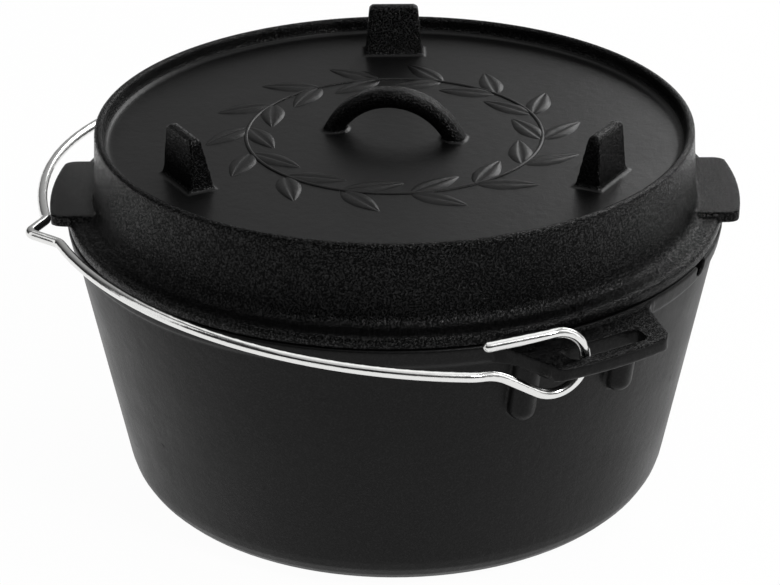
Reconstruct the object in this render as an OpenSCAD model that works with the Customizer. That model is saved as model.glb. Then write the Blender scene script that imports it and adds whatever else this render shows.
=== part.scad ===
// Camp dutch oven: cast pot with two slotted ears, cast lid that doubles as a pan, and a wire bail.
// Millimetres, +Z up, origin at the middle of the pot's base, ears on the X axis.

/* [Pot] */
// Outer diameter of the wall at the rim
pot_d = 310; // [290:1:330]
// Height from the base to the top of the rim
pot_h = 137; // [120:1:160]
// Lean of the wall from upright, in degrees
pot_draft = 10.7; // [8:0.1:12]
// Thickness of the wall
pot_wall = 5.6; // [4.5:0.1:7]
// Thickness of the floor
pot_floor = 6; // [4.5:0.1:9]
// Radius of the rounded foot of the wall
base_fillet = 20; // [14:0.5:26]
// Height of the thickened band below the rim
band_h = 8; // [6:0.5:12]
// How far the band stands out from the wall
band_out = 1.2; // [0.8:0.1:2]
// Rounding of the rim's two edges
rim_round = 1.2; // [0.6:0.1:1.8]
// Width of the notch that lets a probe's lead out under the lid
notch_w = 9; // [6:0.5:12]
// Depth of the probe notch below the rim
notch_depth = 6.5; // [4:0.5:9]
// Place of the probe notch, in degrees from the +X ear
notch_angle = 32; // [28:1:80]

/* [Ears] */
// Reach of the ear past the wall at the rim
ear_reach = 28; // [26:0.5:34]
// Width of the ear across its front
ear_w = 61; // [58:0.5:70]
// Lean of the ear's sides, in degrees
ear_flare = 17; // [8:1:22]
// Thickness of the ear
ear_t = 7.2; // [6:0.2:8]
// Step from the rim's top down to the ear's top
ear_drop = 1.8; // [1:0.1:3]
// Rounding of the ear's front corners
ear_corner = 7; // [4:0.5:9]
// Rounding of the bar's outer edge, top and bottom
ear_edge = 2; // [1:0.1:2.8]
// Blend between the ear's sides and the rim band
ear_blend = 9; // [5:0.5:12]
// Thickness of the bar in front of the slot
ear_bar = 6; // [5:0.2:8]
// Width of the slot, across
slot_w = 10.5; // [10:0.5:13]
// Length of the slot, along the ear
slot_l = 40; // [38:0.5:44]
// Rounding of the slot's corners
slot_corner = 3.5; // [2:0.5:5]
// Diameter of each rounded rib below the ear's arms
rib_d = 13; // [10:0.5:15]
// Height of the ribs' lower ends above the base
rib_bottom = 95; // [80:1:105]
// How far the ribs stand out of the wall
rib_out = 8; // [5:0.5:9]

/* [Lid] */
// Turn of the lid's grip tabs from the ears, in degrees
lid_turn = 58.7; // [40:0.1:70]
// How far the flange reaches past the pot's wall, all round
flange_over = 0.5; // [0:0.1:3]
// Thickness of the flange
flange_t = 6; // [5:0.1:8]
// Width of the ledge between the flange's edge and the coal rim's top
ledge_w = 14.5; // [13.5:0.5:18]
// Height of the whole lid above the pot's rim, to the coal rim's top
lid_h = 43; // [38:0.5:50]
// Height of the coal rim above the plate
coal_rim_h = 7.8; // [6:0.1:10]
// Thickness of the coal rim at its top
coal_rim_t = 3.8; // [3:0.1:5]
// Lean of the skirt, in degrees
skirt_draft = 3.5; // [2:0.1:5]
// Thickness of the skirt
skirt_wall = 5.6; // [4.5:0.1:7]
// Thickness of the plate
plate_t = 5.2; // [4.5:0.1:7]
// Blend between skirt and flange
skirt_fillet = 5; // [3:0.5:6]
// Blend between plate and coal rim
plate_fillet = 3.5; // [2:0.5:5]
// Blend inside the lid, between plate and skirt
pan_fillet = 9; // [5:0.5:14]
// Depth of the lip that centres the lid in the mouth
lip_h = 4; // [3:0.1:6]
// Play between the lip and the mouth
lip_play = 1; // [0.6:0.1:1.6]

/* [Grip tabs] */
// Reach of a tab past the flange
tab_reach = 8.2; // [7:0.1:12]
// Width of a tab
tab_w = 66; // [56:1:76]
// Thickness of a tab
tab_t = 5.4; // [4:0.1:6]
// Height of the tab's top above the flange's top
tab_raise = 2.2; // [1.2:0.1:3]
// Rounding of a tab's corners
tab_corner = 7; // [4:0.5:10]

/* [Lid feet] */
// Radius of the ring on which the three feet stand
foot_ring = 108; // [96:1:116]
// Height of the feet above the plate
foot_h = 25; // [18:0.5:30]
// Width of a foot at its base
foot_base_w = 29; // [24:0.5:34]
// Width of a foot at its top
foot_top_w = 24.5; // [18:0.5:26]
// Thickness of a foot at its base
foot_base_t = 12.5; // [9:0.5:15]
// Thickness of a foot at its top
foot_top_t = 5.2; // [4:0.1:7]
// How far a foot's top is set out from its base
foot_set_out = 1.8; // [0:0.1:2.5]
// Blend at the foot's base
foot_fillet = 3; // [1.5:0.5:4]

/* [Loop handle] */
// Radius of the arch, at the middle of the bar
loop_r = 32.6; // [28:0.2:38]
// Height of the arch above the plate, at the middle of the bar
loop_rise = 18.6; // [16:0.2:22]
// Thickness of the bar, seen from the side
loop_t = 9.2; // [8:0.1:11]
// Width of the bar
loop_w = 12; // [9:0.1:14]
// Rounding of the bar
loop_round = 4; // [2:0.1:4.4]
// Turn of the arch from the line through the tabs, in degrees
loop_turn = -13; // [-30:1:30]

/* [Bail] */
// Diameter of the wire
wire_d = 4.8; // [4:0.1:5]
// Room between the hanging bow's crown and the lid's tabs
bow_room = 0.2; // [0:0.1:4]
// Half of the crown's arc, in degrees
crown_angle = 25; // [20:1:30]
// Heading of the bow where its elbow starts, in degrees
elbow_angle = 74; // [71:1:77]
// Radius of the elbow between the bow and its leg
elbow_r = 18; // [12:1:24]
// Straight stretch of a leg, between elbow and hook
leg_run = 1.5; // [0.5:0.1:4]
// Lean of the hanging bail above level, in degrees
bail_rest = 4.8; // [4.8:0.1:7]
// Height of the hinge line above the middle of the ears
hinge_rise = 1.6; // [1.4:0.1:2.2]
// How far the legs pass from the hinge line, so that one lies on its ear
leg_offset = 2; // [2:0.1:3]
// Radius of the hooks, at the middle of the wire
hook_r = 14.5; // [14:0.1:15.5]
// Bend of the leg towards its hook, in degrees
hook_lead = 28; // [24:1:32]
// Radius of that bend
lead_r = 22; // [16:1:26]
// Length of the hook's free end
hook_tail = 25; // [16:1:28]
// Lean of the free end towards the leg, in degrees
tail_lean = 10; // [4:1:10]
// Slope of the hanging kink's two sides, in degrees
kink_slope = 40; // [30:1:50]
// Half of the crown's arc that the kink takes up, in degrees
kink_half = 4.8; // [4:0.1:6]
// Place of the kink along the crown, in degrees from its middle
kink_place = -3.5; // [-5:0.5:5]
// Radius of the kink's tip
kink_tip_r = 4; // [3:0.5:6]
// Radius of the two bends at the kink's foot
kink_foot_r = 6; // [4:0.5:8]

/* [Hidden] */
$fn = 96;

// Straight pieces in each rounded corner of an outline
corner_steps = 6;
// Overlap of a feature with the wall that it grows from
root = 2;
// Extra diameter of the balls at the wire's joints
joint_full = 0.06;

// Pot: radii of the leaning wall
pot_r = pot_d / 2;
wall_lean = tan(pot_draft);
wall_across = pot_wall / cos(pot_draft);
function wall_r(z) = pot_r - (pot_h - z) * wall_lean;
function mouth_r(z) = wall_r(z) - wall_across;
cavity_fillet = max(base_fillet - pot_wall, pot_wall);

// Ears
ear_front = pot_r + ear_reach;
ear_top = pot_h - ear_drop;
slot_out = ear_front - ear_bar;
slot_in = slot_out - slot_w;
arm_r = (slot_in + slot_out) / 2;
corner_r = ear_front - ear_corner;
corner_turn = asin((ear_w / 2 - ear_corner) / corner_r);
// Distance of the ear's side line from the pot's axis, and its normal
side_n = [sin(ear_flare), cos(ear_flare)];
side_along = [cos(ear_flare), -sin(ear_flare)];
corner_c = corner_r * [cos(corner_turn), sin(corner_turn)];
side_dist = corner_c * side_n + ear_corner;
side_corner = corner_c + ear_corner * side_n;
blend_wall = pot_r + band_out;
blend_c = (side_dist + ear_blend) * side_n
    + sqrt((blend_wall + ear_blend) ^ 2 - (side_dist + ear_blend) ^ 2) * side_along;
// Middle of the arm that a hook goes round
arm_side = (side_dist - arm_r * side_n.x) / side_n.y;
arm_mid = (slot_l / 2 + arm_side) / 2;

// Lid: heights from the base, with the flange lying on the pot's rim
seat_z = pot_h;
flange_r = pot_r + flange_over;
flange_top = seat_z + flange_t;
lid_top = seat_z + lid_h;
plate_z = lid_top - coal_rim_h;
rim_r = flange_r - ledge_w;
skirt_lean = tan(skirt_draft);
skirt_r = rim_r + (lid_top - flange_top) * skirt_lean;
skirt_in = skirt_r - skirt_wall / cos(skirt_draft);
pan_top = plate_z - plate_t;
lip_r = mouth_r(seat_z - lip_h) - lip_play;

// Bail: hinge line through one arm of each ear and the pot's axis
hinge_z = ear_top - ear_t / 2 + hinge_rise;
hinge_turn = -atan2(arm_mid, arm_r);
hinge_r = norm([arm_r, arm_mid]);
leg_r = norm([hinge_r, leg_offset]);
bow_tilt = atan2(leg_offset, hinge_r);
// Hook: a lead bends the leg away from the hinge line, and the hook comes back round that line
lead_run = (hook_r * cos(hook_lead) - leg_offset - lead_r * (1 - cos(hook_lead))) / sin(hook_lead);
lead_start = (hook_r + lead_r) * sin(hook_lead) + lead_run * cos(hook_lead);
// Bow: the radii of crown and shoulder follow from the width and height that the two arcs cover
bow_reach = (flange_r + tab_reach + bow_room + wire_d / 2) / cos(bail_rest);
arcs_w = leg_r - elbow_r * (1 - sin(elbow_angle));
arcs_h = bow_reach - lead_start - leg_run - elbow_r * cos(elbow_angle);
crown_arc = [sin(crown_angle), 1 - cos(crown_angle)];
shoulder_arc = [sin(elbow_angle) - sin(crown_angle), cos(crown_angle) - cos(elbow_angle)];
arcs_det = crown_arc.x * shoulder_arc.y - crown_arc.y * shoulder_arc.x;
crown_r = (arcs_w * shoulder_arc.y - arcs_h * shoulder_arc.x) / arcs_det;
shoulder_r = (arcs_h * crown_arc.x - arcs_w * crown_arc.y) / arcs_det;
crown_c = bow_reach - crown_r;
kink_run = (crown_r * sin(kink_half) - kink_tip_r * sin(kink_slope)
    - kink_foot_r * (sin(kink_slope) - sin(kink_half))) / cos(kink_slope);
kink_tip = crown_r * cos(kink_half) + kink_tip_r * (1 - cos(kink_slope))
    + kink_run * sin(kink_slope) + kink_foot_r * (cos(kink_half) - cos(kink_slope));

// Points of the arc that rounds corner b of the path a, b, c with radius r
function arc_corner(a, b, c, r) =
    r <= 0 ? [b] :
    let (
        u = (a - b) / norm(a - b),
        v = (c - b) / norm(c - b),
        half = acos(u * v) / 2,
        mid = (u + v) / norm(u + v),
        centre = b + mid * r / sin(half),
        start = b + u * r / tan(half) - centre,
        side = sign(u.x * v.y - u.y * v.x),
        sweep = side * (180 - 2 * half)
    )
    [for (i = [0:corner_steps])
        let (t = -sweep * i / corner_steps)
        centre + [start.x * cos(t) - start.y * sin(t), start.x * sin(t) + start.y * cos(t)]];

// Points of the arc about c with radius r, between two directions
function arc(c, r, from, to) =
    [for (i = [0:corner_steps])
        let (t = from + (to - from) * i / corner_steps)
        c + r * [cos(t), sin(t)]];

// Outline through points [x, y, radius], each corner rounded by its radius
function rounded(points) =
    let (n = len(points), xy = [for (p = points) [p.x, p.y]])
    [for (i = [0:n - 1])
        each arc_corner(xy[(i + n - 1) % n], xy[i], xy[(i + 1) % n], points[i][2])];

// Pot

module pot_outer() {
    band_z = pot_h - band_h;
    rotate_extrude()
        polygon(rounded([
            [0, 0, 0],
            [wall_r(0), 0, base_fillet],
            [wall_r(band_z - band_out), band_z - band_out, 0],
            [wall_r(band_z) + band_out, band_z, 0],
            [pot_r + band_out, pot_h, rim_round],
            [0, pot_h, 0]
        ]));
}

module pot_cavity() {
    over = 1;
    rotate_extrude()
        polygon(rounded([
            [0, pot_floor, 0],
            [mouth_r(pot_floor), pot_floor, cavity_fillet],
            [mouth_r(pot_h + over), pot_h + over, 0],
            [0, pot_h + over, 0]
        ]));
}

// Ear seen from above: sides blended into the rim band, corners that run into the front's arc
module ear_outline() {
    past = 1.1 * ear_front;
    side_turn = 90 - ear_flare;
    blend_turn = atan2(blend_c.y, blend_c.x);
    half = concat(
        arc(blend_c, ear_blend, blend_turn - 180, side_turn - 180),
        arc(corner_c, ear_corner, side_turn, corner_turn),
        [past * [cos(corner_turn), sin(corner_turn)]]
    );
    last = len(half) - 1;
    polygon(concat([[0, 0]], half, [for (i = [0:last]) [half[last - i].x, -half[last - i].y]]));
}

module ear_body() {
    over = 1;
    bottom = ear_top - ear_t;
    inner = mouth_r(bottom);
    intersection() {
        rotate_extrude()
            polygon(rounded([
                [inner, bottom, 0],
                [ear_front, bottom, ear_edge],
                [ear_front, ear_top, ear_edge],
                [inner, ear_top, 0]
            ]));
        translate([0, 0, bottom - over]) linear_extrude(ear_t + 2 * over) ear_outline();
    }
}

// Rib under one arm: a round bar that follows the wall, with a rounded lower end
module ear_rib(y) {
    r = rib_d / 2;
    low = rib_bottom + r;
    bar_l = (ear_top - ear_t / 2 - low) / cos(pot_draft);
    translate([sqrt(wall_r(low) ^ 2 - y ^ 2) + rib_out - r, y, low])
        rotate([0, pot_draft, 0])
            rotate(180)
                rotate_extrude()
                    polygon(concat(arc([0, 0], r, -90, 0), [[r, bar_l], [0, bar_l]]));
}

module ear_slot() {
    over = 1;
    translate([0, 0, ear_top - ear_t - over])
        linear_extrude(ear_t + 2 * over)
            polygon(rounded([
                for (p = [[slot_in, -1], [slot_out, -1], [slot_out, 1], [slot_in, 1]])
                    [p.x, p.y * slot_l / 2, slot_corner]
            ]));
}

// Cut through the wall under the rim, with a round bottom
module probe_notch() {
    r = notch_w / 2;
    rotate(notch_angle)
        translate([mouth_r(pot_h - notch_depth) - root, 0, pot_h - notch_depth + r])
            rotate([0, 90, 0]) {
                len_x = pot_wall + band_out + 4 * root;
                cylinder(r = r, h = len_x);
                translate([-notch_depth, -r, 0]) cube([notch_depth, notch_w, len_x]);
            }
}

module pot() {
    color("#26262a")
        difference() {
            union() {
                pot_outer();
                for (turn = [0, 180]) rotate(turn) {
                    ear_body();
                    for (s = [1, -1]) ear_rib(s * arm_mid);
                }
            }
            pot_cavity();
            for (turn = [0, 180]) rotate(turn) ear_slot();
            probe_notch();
        }
}

// Lid

module lid_shell() {
    rim_edge = coal_rim_t / 2.4;
    flange_edge = flange_t / 2.4;
    under_edge = flange_t / 4;
    lip_edge = 1;
    rotate_extrude()
        polygon(rounded([
            [0, plate_z, 0],
            [0, pan_top, 0],
            [skirt_in - (pan_top - flange_top) * skirt_lean, pan_top, pan_fillet],
            [skirt_in + (flange_top - seat_z + lip_h) * skirt_lean, seat_z - lip_h, lip_edge],
            [lip_r, seat_z - lip_h, lip_edge],
            [lip_r, seat_z, 0],
            [flange_r, seat_z, under_edge],
            [flange_r, flange_top, flange_edge],
            [skirt_r, flange_top, skirt_fillet],
            [rim_r, lid_top, rim_edge],
            [rim_r - coal_rim_t, lid_top, rim_edge],
            [rim_r - coal_rim_t - coal_rim_h * skirt_lean, plate_z, plate_fillet]
        ]));
}

module grip_tab() {
    out = flange_r + tab_reach;
    half = tab_w / 2;
    translate([0, 0, flange_top + tab_raise - tab_t])
        linear_extrude(tab_t)
            intersection() {
                circle(out, $fn = 360);
                polygon(rounded([
                    [skirt_r - skirt_wall / 2, -half, 0],
                    [sqrt(out ^ 2 - half ^ 2), -half, tab_corner],
                    [out + tab_corner, 0, 0],
                    [sqrt(out ^ 2 - half ^ 2), half, tab_corner],
                    [skirt_r - skirt_wall / 2, half, 0]
                ]));
            }
}

// Foot: the wedge's side view and front view, each extruded, meet in one solid
module lid_foot() {
    sink = 0.4;
    flare = foot_fillet + 1;
    ridge = foot_top_t / 2.2;
    function view(base, top, shift, round_top) = rounded([
        [-base / 2 - flare, -root, 0],
        [-base / 2 - flare, -sink, 0],
        [-base / 2, -sink, foot_fillet],
        [shift - top / 2, foot_h, round_top],
        [shift + top / 2, foot_h, round_top],
        [base / 2, -sink, foot_fillet],
        [base / 2 + flare, -sink, 0],
        [base / 2 + flare, -root, 0]
    ]);
    translate([foot_ring, 0, plate_z])
        intersection() {
            rotate([90, 0, 0])
                linear_extrude(2 * foot_base_w, center = true)
                    polygon(view(foot_base_t, foot_top_t, foot_set_out, ridge));
            rotate([90, 0, 90])
                linear_extrude(4 * foot_base_t, center = true)
                    polygon(view(foot_base_w, foot_top_w, 0, foot_top_t / 1.6));
        }
}

// Arch of a rounded bar, standing in the plate
module loop_handle() {
    block = 4 * loop_r;
    rotate(loop_turn)
        intersection() {
            translate([0, 0, plate_z + loop_rise - loop_r])
                rotate([90, 0, 0])
                    rotate_extrude()
                        polygon(rounded([
                            for (p = [[-1, -1], [1, -1], [1, 1], [-1, 1]])
                                [loop_r + p.x * loop_t / 2, p.y * loop_w / 2, loop_round]
                        ]));
            translate([-block / 2, -block / 2, plate_z - plate_t / 2]) cube(block);
        }
}

module lid() {
    color("#2a2a2d")
        rotate(lid_turn) {
            lid_shell();
            for (turn = [0, 180]) rotate(turn) grip_tab();
            for (turn = [90, 210, 330]) rotate(turn) lid_foot();
            loop_handle();
        }
}

// Bail

// One piece of the wire from the origin along +Z: a run of length r, or a bend towards +X
module wire_piece(r, angle) {
    if (angle == 0)
        cylinder(d = wire_d, h = r);
    else
        rotate([0, 0, 180])
            translate([-r, 0, 0])
                rotate([90, 0, 0])
                    rotate_extrude(angle = angle)
                        translate([r, 0]) circle(d = wire_d);
}

// Wire along steps of [roll, radius, bend angle], or [roll, length, 0] for a run.
// Each joint has a ball that is a hair fuller than the wire, so that the pieces fuse.
module wire(steps, i = 0) {
    if (i < len(steps)) {
        r = steps[i][1];
        angle = steps[i][2];
        end = angle == 0 ? [0, 0, r] : [r * (1 - cos(angle)), 0, r * sin(angle)];
        rotate([0, 0, steps[i][0]]) {
            wire_piece(r, angle);
            translate(end)
                rotate([0, angle, 0]) {
                    sphere(d = wire_d + joint_full);
                    wire(steps, i + 1);
                }
        }
    }
}

// Half of the bow, from the kink's tip to the hook's free end, which turns to run along its slot
module half_bail(crown) {
    wire([
        [0, kink_tip_r, kink_slope],
        [0, kink_run, 0],
        [180, kink_foot_r, kink_slope - kink_half],
        [180, crown_r, crown - kink_half],
        [0, shoulder_r, elbow_angle - crown_angle],
        [0, elbow_r, 90 - elbow_angle],
        [0, leg_run, 0],
        [-90, lead_r, hook_lead],
        [0, lead_run, 0],
        [180, hook_r, 180 + hook_lead + tail_lean],
        [-90, lead_r, -hinge_turn],
        [0, hook_tail, 0]
    ]);
}

// The two halves are alike when the bail is turned over, so either side hangs the same way
module bail() {
    color("#c9cacb")
        translate([0, 0, hinge_z])
            rotate(hinge_turn)
                rotate([-bail_rest, 0, 0])
                    for (side = [0, 180])
                        rotate([0, side, 0])
                            rotate([0, bow_tilt, 0])
                                translate([0, -crown_c, 0])
                                    rotate(side == 0 ? kink_place : -kink_place)
                                        translate([0, -kink_tip, 0])
                                            rotate([0, 90, 0]) rotate(90)
                                                half_bail(side == 0 ? crown_angle - kink_place
                                                                    : crown_angle + kink_place);
}

pot();
lid();
bail();
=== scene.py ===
"""Looks of the camp dutch oven, in metres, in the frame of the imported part."""
import math

import bmesh
import bpy
import numpy as np
from mathutils import Matrix, Vector


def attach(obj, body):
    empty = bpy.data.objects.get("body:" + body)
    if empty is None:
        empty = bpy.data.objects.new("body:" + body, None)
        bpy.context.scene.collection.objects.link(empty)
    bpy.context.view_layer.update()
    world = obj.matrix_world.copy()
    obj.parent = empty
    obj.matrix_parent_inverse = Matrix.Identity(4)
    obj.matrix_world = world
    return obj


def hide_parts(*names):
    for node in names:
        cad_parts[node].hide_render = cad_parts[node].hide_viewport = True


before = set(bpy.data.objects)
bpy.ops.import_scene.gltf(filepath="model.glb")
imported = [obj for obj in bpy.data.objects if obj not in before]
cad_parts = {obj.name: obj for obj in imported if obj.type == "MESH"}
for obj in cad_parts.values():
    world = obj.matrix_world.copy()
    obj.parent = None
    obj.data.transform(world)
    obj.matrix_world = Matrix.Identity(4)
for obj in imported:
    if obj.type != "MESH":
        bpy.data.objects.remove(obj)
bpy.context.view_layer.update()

# Camera of the photograph
CAMERA_AT = Vector((0.9695, -0.5895, 0.6458))
CAMERA_AIM = Vector((-0.0313, 0.0158, 0.0713))
CAMERA_ROLL = math.radians(-0.45)
CAMERA_LENS = 119.78
SENSOR_WIDTH = 36.0

# Softening of the castings and the wire: grid, smoothing passes, and share of the faces that is kept
CASTING_SOFT = (0.0008, 1, 0.3)
WIRE_SOFT = (0.0005, 8, 0.5)
SMOOTH_FACTOR = 0.5

# Cone of the pot's wall: radius at a height, lean, lowest and highest place, and how far facets are off
WALL_R = 0.155
WALL_R_Z = 0.137
WALL_LEAN = math.radians(10.7)
WALL_Z = (0.018, 0.126)
WALL_FACET = 0.00025

# Cast iron: base colours, and the grain values where they lie
IRON_DARK = (0.0006, 0.0006, 0.0006, 1)
IRON_PALE = (0.0022, 0.0022, 0.0023, 1)
IRON_TONE_AT = (0.32, 0.72)

# Noises of the iron and the wire: scale, detail and roughness, and the span of values that they fill
GRAIN_NOISE = (1150.0, 3.0, 0.65)
WAVE_NOISE = (210.0, 3.0, 0.5)
PATCH_NOISE = (26.0, 4.0, 0.55)
POLISH_NOISE = (900.0, 2.0, 0.6)
CLOUD_NOISE = (60.0, 3.0, 0.5)
NOISE_SPAN = (0.3, 0.7)

# Relief of the grain, of the casting's slow waves and of the wire's drawing marks
GRAIN_DEPTH = 0.0005
WAVE_DEPTH = 0.0004
WAVE_STRENGTH = 0.3
MARK_DEPTH = 0.00004
MARK_STRENGTH = 0.35

# Glints: grain values from dull to bright, and their shine as shares of the iron's own
GLINT_FROM = (0.47, 0.72)
GLINT_SHINE = (0.16, 2.1)

# Bands of heights, as middle and half: the smooth plate of the lid and the sandy ears of the pot
PLATE_BAND = (0.1726, 0.0016)
EAR_BAND = (0.1310, 0.0055)
LEVEL_FROM = 0.6

# The two irons: shine, range of roughness, band, roughness added in it, and grain outside and inside it
POT_IRON = {
    "shine": 0.16,
    "polish": (0.34, 0.44),
    "band": EAR_BAND,
    "band_dull": -0.16,
    "grains": (0.2, 1.0),
}
LID_IRON = {
    "shine": 0.22,
    "polish": (0.18, 0.26),
    "band": PLATE_BAND,
    "band_dull": 0.14,
    "grains": (1.0, 0.15),
}

# Steel of the wire
STEEL_COLOUR = (0.78, 0.78, 0.77, 1)
STEEL_POLISH = (0.12, 0.22)

# Leaf wreath on the lid's plate
PLATE_Z = 0.1722
WREATH_R = 0.070
WREATH_PAIRS = 14
LEAF_LENGTH = 0.030
LEAF_WIDTH = 0.0125
LEAF_HEIGHT = 0.0014
LEAF_SPREAD = math.radians(34)
LEAF_STEPS = (14, 10)
LEAF_TAPER = (0.8, 0.9)
LEAF_DOME = 0.5
GROOVE_DEPTH = 0.55
GROOVE_WIDTH = 0.16
VEIN_DEPTH = 0.12
VEIN_COUNT = 9
VEIN_LEAN = 0.25
STEM_WIDTH = 0.0022
STEM_HEIGHT = 0.0010
STEM_STEPS = (160, 8)
RELIEF_SINK = 0.0003

# Nib on the flange, from its foot on the ledge to its end at the flange's edge
FLANGE_Z = 0.1430
NIB_FROM = Vector((0.1458, -0.0002))
NIB_TO = Vector((0.1549, 0.0010))
NIB_WIDTH = 0.0026
NIB_HEIGHT = 0.0018
NIB_SINK = 0.0009
NIB_STEPS = (12, 8)
NIB_END = 0.08
NIB_BLUNT = 0.4

# Floor: half its width, gap below the pot, colour, and the share that is plain white to the eye
FLOOR_HALF = 15.0
FLOOR_GAP = 0.0002
FLOOR_COLOUR = (0.90, 0.90, 0.90, 1)
FLOOR_ROUGHNESS = 0.9
FLOOR_SHINE = 0.1
FLOOR_WHITE = 0.97

# Room: azimuth and elevation of its brightest side, span of the fade to it, darkest and brightest level
ROOM_BRIGHT = (130, 40)
ROOM_FADE = (-0.05, 0.85)
ROOM_LEVEL = (0.02, 0.46)

# Lamps: azimuth to the camera's right, elevation, distance, width and height, power
LAMP_AIM = Vector((0, 0, 0.1))
LAMPS = {
    "lamp_top": (180, 78, 1.7, (1.6, 1.6), 6),
    "lamp_left": (-80, 25, 1.8, (0.7, 1.6), 3.5),
    "lamp_right": (80, 25, 1.8, (0.7, 1.6), 4),
    "lamp_behind": (145, 28, 1.9, (1.4, 0.8), 14),
    "lamp_front": (0, 58, 1.7, (1.8, 1.0), 3),
    "lamp_key": (40, 40, 1.7, (0.35, 0.35), 14),
}


def link(owner, source, target):
    """Join two sockets of a material or a world."""
    owner.node_tree.links.new(source, target)


def add(owner, kind, **values):
    """A shader node, with its settings and the values of its sockets."""
    made = owner.node_tree.nodes.new(kind)
    for key, value in values.items():
        if hasattr(made, key):
            setattr(made, key, value)
        else:
            made.inputs[key.replace("_", " ")].default_value = value
    return made


def calculated(owner, operation, *values):
    """The outcome of a Math node whose inputs are sockets or constants."""
    made = add(owner, "ShaderNodeMath", operation=operation)
    for socket, value in zip(made.inputs, values):
        if isinstance(value, bpy.types.NodeSocket):
            link(owner, value, socket)
        else:
            socket.default_value = value
    return made.outputs["Value"]


def spread(owner, source, span, target):
    """A value brought from one span to another, and held inside it."""
    made = add(owner, "ShaderNodeMapRange", From_Min=span[0], From_Max=span[1])
    made.inputs["To Min"].default_value = target[0]
    made.inputs["To Max"].default_value = target[1]
    link(owner, source, made.inputs["Value"])
    return made.outputs["Result"]


def noise(owner, place, settings):
    """A noise in the piece's own space."""
    scale, detail, roughness = settings
    made = add(owner, "ShaderNodeTexNoise", Scale=scale, Detail=detail, Roughness=roughness)
    link(owner, place, made.inputs["Vector"])
    return made.outputs["Fac"]


def upward_part(owner, vector):
    """The Z part of a vector."""
    made = add(owner, "ShaderNodeSeparateXYZ")
    link(owner, vector, made.inputs["Vector"])
    return made.outputs["Z"]


def bump(owner, height, depth):
    """A bump node for a height."""
    made = add(owner, "ShaderNodeBump", Distance=depth)
    link(owner, height, made.inputs["Height"])
    return made


def new_material(name):
    """An empty node material with its output and one Principled shader."""
    mat = bpy.data.materials.new(name)
    mat.use_nodes = True
    mat.node_tree.nodes.clear()
    shader = add(mat, "ShaderNodeBsdfPrincipled")
    output = add(mat, "ShaderNodeOutputMaterial")
    link(mat, shader.outputs["BSDF"], output.inputs["Surface"])
    return mat, shader


def level_band(mat, coord, band):
    """1 on faces that look up within a band of heights, and 0 elsewhere."""
    inside = calculated(mat, "COMPARE", upward_part(mat, coord.outputs["Object"]), *band)
    level = calculated(mat, "GREATER_THAN", upward_part(mat, coord.outputs["Normal"]), LEVEL_FROM)
    return calculated(mat, "MULTIPLY", inside, level)


def iron_tone(mat, grain):
    """Black that turns a little paler on top of the grain."""
    ramp = add(mat, "ShaderNodeValToRGB")
    for stop, place, colour in zip(ramp.color_ramp.elements, IRON_TONE_AT, (IRON_DARK, IRON_PALE)):
        stop.position = place
        stop.color = colour
    link(mat, grain, ramp.inputs["Fac"])
    return ramp.outputs["Color"]


def iron_shine(mat, grain, sandy, shine):
    """Even shine on smooth faces, and glints on sandy ones."""
    glints = spread(mat, grain, GLINT_FROM, [shine * share for share in GLINT_SHINE])
    mixed = add(mat, "ShaderNodeMix", data_type="FLOAT")
    mixed.inputs["A"].default_value = shine
    link(mat, sandy, mixed.inputs["Factor"])
    link(mat, glints, mixed.inputs["B"])
    return mixed.outputs["Result"]


def iron_relief(mat, grain, sandy, wave):
    """The sandy grain, with the slow waves of the mould over it."""
    rough = bump(mat, grain, GRAIN_DEPTH)
    link(mat, sandy, rough.inputs["Strength"])
    uneven = bump(mat, wave, WAVE_DEPTH)
    uneven.inputs["Strength"].default_value = WAVE_STRENGTH
    link(mat, rough.outputs["Normal"], uneven.inputs["Normal"])
    return uneven.outputs["Normal"]


def cast_iron(name, shine, polish, band, band_dull, grains):
    """Seasoned sand-cast iron, black and grainy, with other sheen and grain on level faces of one band."""
    mat, shader = new_material(name)
    coord = add(mat, "ShaderNodeTexCoord")
    grain = noise(mat, coord.outputs["Object"], GRAIN_NOISE)
    wave = noise(mat, coord.outputs["Object"], WAVE_NOISE)
    patch = noise(mat, coord.outputs["Object"], PATCH_NOISE)
    inside = level_band(mat, coord, band)
    sandy = spread(mat, inside, (0, 1), grains)
    sheen = spread(mat, patch, NOISE_SPAN, polish)
    link(mat, iron_tone(mat, grain), shader.inputs["Base Color"])
    link(mat, calculated(mat, "MULTIPLY_ADD", inside, band_dull, sheen), shader.inputs["Roughness"])
    link(mat, iron_shine(mat, grain, sandy, shine), shader.inputs["Specular IOR Level"])
    link(mat, iron_relief(mat, grain, sandy, wave), shader.inputs["Normal"])
    return mat


def drawn_steel(name):
    """Bright drawn stainless wire with faint uneven polish."""
    mat, shader = new_material(name)
    place = add(mat, "ShaderNodeTexCoord").outputs["Object"]
    marks = bump(mat, noise(mat, place, POLISH_NOISE), MARK_DEPTH)
    marks.inputs["Strength"].default_value = MARK_STRENGTH
    sheen = spread(mat, noise(mat, place, CLOUD_NOISE), NOISE_SPAN, STEEL_POLISH)
    link(mat, sheen, shader.inputs["Roughness"])
    link(mat, marks.outputs["Normal"], shader.inputs["Normal"])
    shader.inputs["Base Color"].default_value = STEEL_COLOUR
    shader.inputs["Metallic"].default_value = 1.0
    return mat


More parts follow.
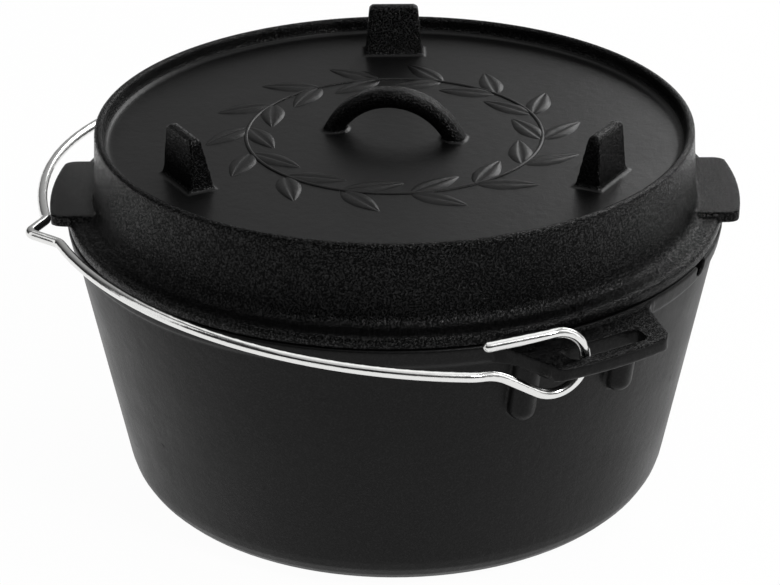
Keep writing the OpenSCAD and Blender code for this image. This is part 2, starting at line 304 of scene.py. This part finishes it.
def softened(node, name, grid, passes, keep):
    """A copy of a CAD node with rounded edges and filled corners, as a casting or a bent wire has."""
    piece = bpy.data.objects.new(name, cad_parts[node].data.copy())
    bpy.context.scene.collection.objects.link(piece)
    remesh = piece.modifiers.new("grid", "REMESH")
    remesh.mode = "VOXEL"
    remesh.voxel_size = grid
    smooth = piece.modifiers.new("soften", "SMOOTH")
    smooth.factor = SMOOTH_FACTOR
    smooth.iterations = passes
    thin = piece.modifiers.new("thin", "DECIMATE")
    thin.ratio = keep
    thin.use_collapse_triangulate = True
    mesh = bpy.data.meshes.new_from_object(piece.evaluated_get(bpy.context.evaluated_depsgraph_get()))
    piece.modifiers.clear()
    piece.data = mesh
    mesh.shade_smooth()
    return piece


def true_wall(piece):
    """Put the pot's leaning wall on a true cone, off the flat facets of the CAD mesh."""
    verts = piece.data.vertices
    at = np.empty(3 * len(verts))
    verts.foreach_get("co", at)
    at = at.reshape(-1, 3)
    reach = np.hypot(at[:, 0], at[:, 1])
    cone = WALL_R - (WALL_R_Z - at[:, 2]) * math.tan(WALL_LEAN)
    wall = (at[:, 2] > WALL_Z[0]) & (at[:, 2] < WALL_Z[1]) & (np.abs(reach - cone) < WALL_FACET)
    at[wall, :2] *= (cone[wall] / reach[wall])[:, None]
    verts.foreach_set("co", at.ravel())
    piece.data.update()
    return piece


def dress(piece, material, body, node=None):
    """Give a piece its material and its body, and hide the CAD node that it stands for."""
    piece.data.materials.clear()
    piece.data.materials.append(material)
    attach(piece, body)
    if node:
        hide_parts(node)


def finished(mesh, name):
    """The object of a bmesh, smooth, with its faces outward."""
    bmesh.ops.recalc_face_normals(mesh, faces=mesh.faces)
    data = bpy.data.meshes.new(name)
    mesh.to_mesh(data)
    mesh.free()
    data.shade_smooth()
    piece = bpy.data.objects.new(name, data)
    bpy.context.scene.collection.objects.link(piece)
    return piece


def skin(mesh, rows):
    """Faces between each row of vertices and the next."""
    for here, there in zip(rows, rows[1:]):
        for j in range(len(here) - 1):
            mesh.faces.new((here[j], there[j], there[j + 1], here[j + 1]))


def leaf_point(u, v):
    """A point of a low leaf along +X: u from root to tip, v from -1 to 1 across it."""
    half = LEAF_WIDTH / 2 * math.sin(math.pi * u ** LEAF_TAPER[0]) ** LEAF_TAPER[1]
    dome = math.sqrt(max(1 - v * v, 0)) * math.sin(math.pi * u) ** LEAF_DOME
    groove = 1 - GROOVE_DEPTH * math.exp(-(v / GROOVE_WIDTH) ** 2)
    veins = 1 - VEIN_DEPTH * math.sin(VEIN_COUNT * math.pi * (u - VEIN_LEAN * abs(v))) * abs(v)
    return Vector((LEAF_LENGTH * u, half * v, LEAF_HEIGHT * dome * groove * veins - RELIEF_SINK))


def add_leaf(mesh, place):
    """One leaf, pointed at both ends, with a groove along its middle."""
    along, across = LEAF_STEPS
    rows = []
    for i in range(along + 1):
        points = [leaf_point(i / along, 2 * j / across - 1) for j in range(across + 1)]
        rows.append([mesh.verts.new(place @ point) for point in points])
    skin(mesh, rows)


def stem_point(turn, t):
    """A point of the stem: turn round the lid, and t over its half-round from outside to inside."""
    r = WREATH_R + STEM_WIDTH / 2 * math.cos(t)
    z = PLATE_Z - RELIEF_SINK + STEM_HEIGHT * math.sin(t)
    return Vector((r * math.cos(turn), r * math.sin(turn), z))


def add_stem(mesh):
    """The wreath's stem: a low half-round ring on the plate."""
    steps, across = STEM_STEPS
    rows = []
    for i in range(steps):
        points = [stem_point(2 * math.pi * i / steps, math.pi * j / across) for j in range(across + 1)]
        rows.append([mesh.verts.new(point) for point in points])
    skin(mesh, rows + rows[:1])


def leaf_wreath(name):
    """A plain wreath of leaf pairs round the loop handle, in low relief."""
    mesh = bmesh.new()
    add_stem(mesh)
    for i in range(WREATH_PAIRS):
        turn = Matrix.Rotation(2 * math.pi * i / WREATH_PAIRS, 4, "Z")
        root = turn @ Matrix.Translation((WREATH_R, 0, PLATE_Z))
        for side in (1, -1):
            heading = Matrix.Rotation(math.pi / 2 + side * LEAF_SPREAD, 4, "Z")
            add_leaf(mesh, root @ heading)
    return finished(mesh, name)


def nib_point(u, t):
    """A point of the nib: u from its foot to its end, and t over its half-round."""
    along = NIB_TO - NIB_FROM
    across = Vector((-along.y, along.x)).normalized() * NIB_WIDTH / 2
    full = math.sin(math.pi * (NIB_END + (1 - 2 * NIB_END) * u)) ** NIB_BLUNT
    at = NIB_FROM + along * u + across * full * math.cos(t)
    return Vector((at.x, at.y, FLANGE_Z - NIB_SINK + NIB_HEIGHT * full * math.sin(t)))


def flange_nib(name):
    """A small rounded ridge across the flange's outer half."""
    along, across = NIB_STEPS
    mesh = bmesh.new()
    rows = []
    for i in range(along + 1):
        points = [nib_point(i / along, math.pi * j / across) for j in range(across + 1)]
        rows.append([mesh.verts.new(point) for point in points])
    skin(mesh, rows)
    return finished(mesh, name)


def add_camera():
    """The photograph's camera: its place, aim, lens and slight roll."""
    data = bpy.data.cameras.new("camera")
    data.lens = CAMERA_LENS
    data.sensor_width = SENSOR_WIDTH
    data.sensor_fit = "HORIZONTAL"
    camera = bpy.data.objects.new("camera", data)
    look = (CAMERA_AIM - CAMERA_AT).normalized()
    level = look.cross(Vector((0, 0, 1))).normalized()
    upright = level.cross(look)
    right = level * math.cos(CAMERA_ROLL) + upright * math.sin(CAMERA_ROLL)
    axes = Matrix((right, right.cross(look), -look)).transposed()
    camera.matrix_world = Matrix.Translation(CAMERA_AT) @ axes.to_4x4()
    bpy.context.scene.collection.objects.link(camera)
    bpy.context.scene.camera = camera


def floor_white():
    """White ground: mostly plain white to the eye and in reflections, while the rest takes the shadow."""
    mat, shader = new_material("floor_white")
    shader.inputs["Base Color"].default_value = FLOOR_COLOUR
    shader.inputs["Roughness"].default_value = FLOOR_ROUGHNESS
    shader.inputs["Specular IOR Level"].default_value = FLOOR_SHINE
    path = add(mat, "ShaderNodeLightPath").outputs
    seen = calculated(mat, "MAXIMUM", path["Is Camera Ray"], path["Is Glossy Ray"])
    through = calculated(mat, "MAXIMUM", seen, path["Is Transmission Ray"])
    white = add(mat, "ShaderNodeEmission", Strength=1.0)
    mix = add(mat, "ShaderNodeMixShader")
    link(mat, calculated(mat, "MULTIPLY", through, FLOOR_WHITE), mix.inputs["Fac"])
    link(mat, shader.outputs["BSDF"], mix.inputs[1])
    link(mat, white.outputs["Emission"], mix.inputs[2])
    link(mat, mix.outputs["Shader"], mat.node_tree.get_output_node("ALL").inputs["Surface"])
    return mat


def add_floor():
    """A pale floor that keeps the shadow."""
    data = bpy.data.meshes.new("floor")
    turns = ((-1, -1), (1, -1), (1, 1), (-1, 1))
    corners = [(x * FLOOR_HALF, y * FLOOR_HALF, -FLOOR_GAP) for x, y in turns]
    data.from_pydata(corners, [], [(0, 1, 2, 3)])
    floor = bpy.data.objects.new("floor", data)
    bpy.context.scene.collection.objects.link(floor)
    data.materials.append(floor_white())


def toward(azimuth, elevation):
    """The unit direction at an elevation and an azimuth, counted from the camera's side to its right."""
    turn = math.atan2(CAMERA_AT.y, CAMERA_AT.x) + math.radians(azimuth)
    rise = math.radians(elevation)
    return Vector((math.cos(turn) * math.cos(rise), math.sin(turn) * math.cos(rise), math.sin(rise)))


def add_lamp(name, azimuth, elevation, distance, size, power):
    """A soft rectangular lamp aimed at the pot."""
    data = bpy.data.lights.new(name, "AREA")
    data.shape = "RECTANGLE"
    data.size, data.size_y = size
    data.energy = power
    lamp = bpy.data.objects.new(name, data)
    away = toward(azimuth, elevation)
    lamp.location = LAMP_AIM + distance * away
    lamp.rotation_euler = away.to_track_quat("Z", "Y").to_euler()
    bpy.context.scene.collection.objects.link(lamp)


def add_world():
    """Room light: pale above and behind the pot, brightest behind to the right, dim low down in front."""
    world = bpy.data.worlds.new("studio")
    world.use_nodes = True
    room = world.node_tree.nodes["Background"]
    coord = add(world, "ShaderNodeTexCoord")
    bright = add(world, "ShaderNodeVectorMath", operation="DOT_PRODUCT")
    bright.inputs[1].default_value = toward(*ROOM_BRIGHT)
    link(world, coord.outputs["Generated"], bright.inputs[0])
    link(world, spread(world, bright.outputs["Value"], ROOM_FADE, ROOM_LEVEL), room.inputs["Strength"])
    room.inputs["Color"].default_value = (1, 1, 1, 1)
    bpy.context.scene.world = world


add_camera()
add_world()
add_floor()
for lamp_name, lamp_values in LAMPS.items():
    add_lamp(lamp_name, *lamp_values)

pot_iron = cast_iron("pot_iron", **POT_IRON)
lid_iron = cast_iron("lid_iron", **LID_IRON)
wire_steel = drawn_steel("wire_steel")
pot_casting = true_wall(softened("pot", "pot_casting", *CASTING_SOFT))
lid_casting = softened("lid", "lid_casting", *CASTING_SOFT)
bent_wire = softened("bail", "bail_bent_wire", *WIRE_SOFT)
dress(pot_casting, pot_iron, "pot", "pot")
dress(lid_casting, lid_iron, "lid", "lid")
dress(bent_wire, wire_steel, "bail", "bail")
dress(leaf_wreath("lid_wreath"), lid_iron, "lid")
dress(flange_nib("lid_nib"), lid_iron, "lid")

bpy.context.scene.view_settings.view_transform = "Standard"
